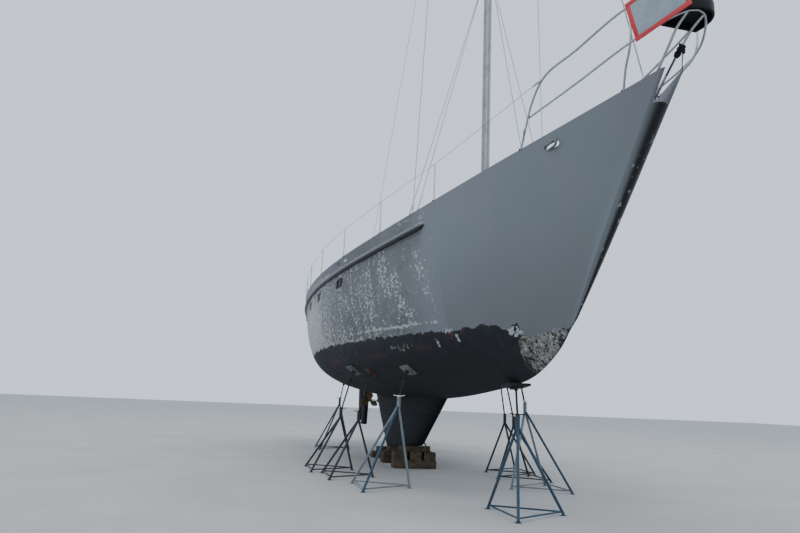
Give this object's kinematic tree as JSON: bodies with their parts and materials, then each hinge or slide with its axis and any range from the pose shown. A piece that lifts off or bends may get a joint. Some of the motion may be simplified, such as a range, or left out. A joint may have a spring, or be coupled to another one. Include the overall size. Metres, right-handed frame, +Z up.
{
  "type": "sailing yacht",
  "caption": "Sloop with a raked bow, fin keel and bare primed hull, laid up ashore on keel blocks and boat stands, with rails, a cabin, a cockpit and its steering gear.",
  "frame": {"origin": "on the ground under the middle of the bounding box", "axes": "+X towards the bow, +Y to port, +Z up"},
  "size_m": [18.2755, 4.8444, 19.5],
  "materials": {
    "hull_primer": "matt blue-grey primer over fairing, worn and patched",
    "antifouling": "matt near-black antifouling, flaking, with red undercoat showing",
    "deck_primer": "matt pale grey deck primer",
    "coach_primer": "satin off-white paint",
    "painted_white": "satin white paint",
    "smoked_acrylic": "gloss smoked acrylic",
    "stainless": "polished stainless steel, slightly weathered",
    "alloy": "satin anodised",
    "mast_alloy": "satin anodised, weathered",
    "bronze": "dull cast bronze",
    "teak": "oiled teak",
    "block_timber": "rough sawn, weathered",
    "stand_blue": "blue paint, scuffed and rusty at the screws",
    "stand_dark": "black paint, scuffed",
    "black_plastic": "matt black moulding",
    "sign_board": "blank panel, red edge and pale middle"
  },
  "bodies": {
    "yacht_body": {"hull": "hull_primer", "cockpit_tub": "painted_white", "deck_fore": "deck_primer", "deck_aft": "deck_primer", "keel_stub": "antifouling", "ballast_keel": "antifouling", "skeg": "antifouling", "propeller_shaft": "bronze", "keel_block_fore": "block_timber", "keel_block_mid": "block_timber", "keel_block_aft": "block_timber", "coachroof": "coach_primer", "hatch_garage": "coach_primer", "fore_hatch_frame": "alloy", "cockpit_coaming": "coach_primer", "steering_pedestal": "painted_white", "windlass": "stainless", "mast": "mast_alloy", "lower_spreaders": "mast_alloy", "upper_spreaders": "mast_alloy", "forestay": "stainless", "backstay": "stainless", "pulpit": "stainless", "pulpit_seat": "black_plastic", "sign_panel": "sign_board", "pushpit": "stainless", "stand_bow": "stand_blue", "bulwark_starboard": "hull_primer", "side_deck_starboard": "deck_primer", "rub_rail_starboard": "hull_primer", "window_band_starboard": "smoked_acrylic", "winch_starboard": "stainless", "shrouds_starboard": "stainless", "lifeline_starboard": "stainless", "stand_fore_starboard": "stand_blue", "stand_mid_starboard": "stand_dark", "stand_board_starboard": "stand_blue", "stand_aft_starboard": "stand_blue", "bulwark_port": "hull_primer", "side_deck_port": "deck_primer", "rub_rail_port": "hull_primer", "window_band_port": "smoked_acrylic", "winch_port": "stainless", "shrouds_port": "stainless", "lifeline_port": "stainless", "stand_fore_port": "stand_blue", "stand_mid_port": "stand_dark", "stand_board_port": "stand_blue", "stand_aft_port": "stand_blue"},
    "rudder_body": {"rudder": "antifouling"},
    "wheel_body": {"steering_wheel": "stainless"},
    "propeller_body": {"propeller": "bronze"},
    "slide_hatch_body": {"companionway_hatch": "smoked_acrylic"},
    "fore_hatch_body": {"fore_hatch_lid": "smoked_acrylic"},
    "saloon_hatch_body": {"saloon_hatch_lid": "smoked_acrylic"},
    "door_starboard_body": {"companionway_door_starboard": "teak"},
    "door_port_body": {"companionway_door_port": "teak"},
    "locker_starboard_body": {"locker_lid_starboard": "teak"},
    "locker_port_body": {"locker_lid_port": "teak"}
  },
  "joints": [
    {"name": "wheel_turn", "type": "hinge", "parent": "yacht_body", "child": "wheel_body", "pos_m": [-6.0555, 0, 4.33], "axis": [1, 0, 0], "range_deg": [-540, 540]},
    {"name": "rudder_turn", "type": "hinge", "parent": "yacht_body", "child": "rudder_body", "pos_m": [-6.9655, 0, 1.5], "axis": [0, 0, 1], "range_deg": [-35, 35]},
    {"name": "propeller_spin", "type": "hinge", "parent": "yacht_body", "child": "propeller_body", "pos_m": [-5.9355, 0, 1.4], "axis": [1, 0, 0], "continuous": true},
    {"name": "companionway_slide", "type": "slide", "parent": "yacht_body", "child": "slide_hatch_body", "axis": [1, 0, 0], "range_m": [0, 0.64]},
    {"name": "fore_hatch_hinge", "type": "hinge", "parent": "yacht_body", "child": "fore_hatch_body", "pos_m": [5.2165, 0, 4.46336], "axis": [0, 1, 0], "range_deg": [0, 85]},
    {"name": "saloon_hatch_hinge", "type": "hinge", "parent": "yacht_body", "child": "saloon_hatch_body", "pos_m": [0.0365, 0, 4.7303], "axis": [0, 1, 0], "range_deg": [0, 85]},
    {"name": "door_starboard_hinge", "type": "hinge", "parent": "yacht_body", "child": "door_starboard_body", "pos_m": [-3.6165, -0.335, 4.28], "axis": [0, 0, 1], "range_deg": [0, 110]},
    {"name": "door_port_hinge", "type": "hinge", "parent": "yacht_body", "child": "door_port_body", "pos_m": [-3.6165, 0.335, 4.28], "axis": [0, 0, -1], "range_deg": [0, 110]},
    {"name": "locker_starboard_hinge", "type": "hinge", "parent": "yacht_body", "child": "locker_starboard_body", "pos_m": [-4.8355, -1.08, 3.7803], "axis": [1, 0, 0], "range_deg": [0, 80]},
    {"name": "locker_port_hinge", "type": "hinge", "parent": "yacht_body", "child": "locker_port_body", "pos_m": [-4.8355, 1.08, 3.7803], "axis": [-1, 0, 0], "range_deg": [0, 80]}
  ],
  "couplings": [
    {"joint": "rudder_turn", "follows": "wheel_turn", "ratio": 0.064815}
  ]
}
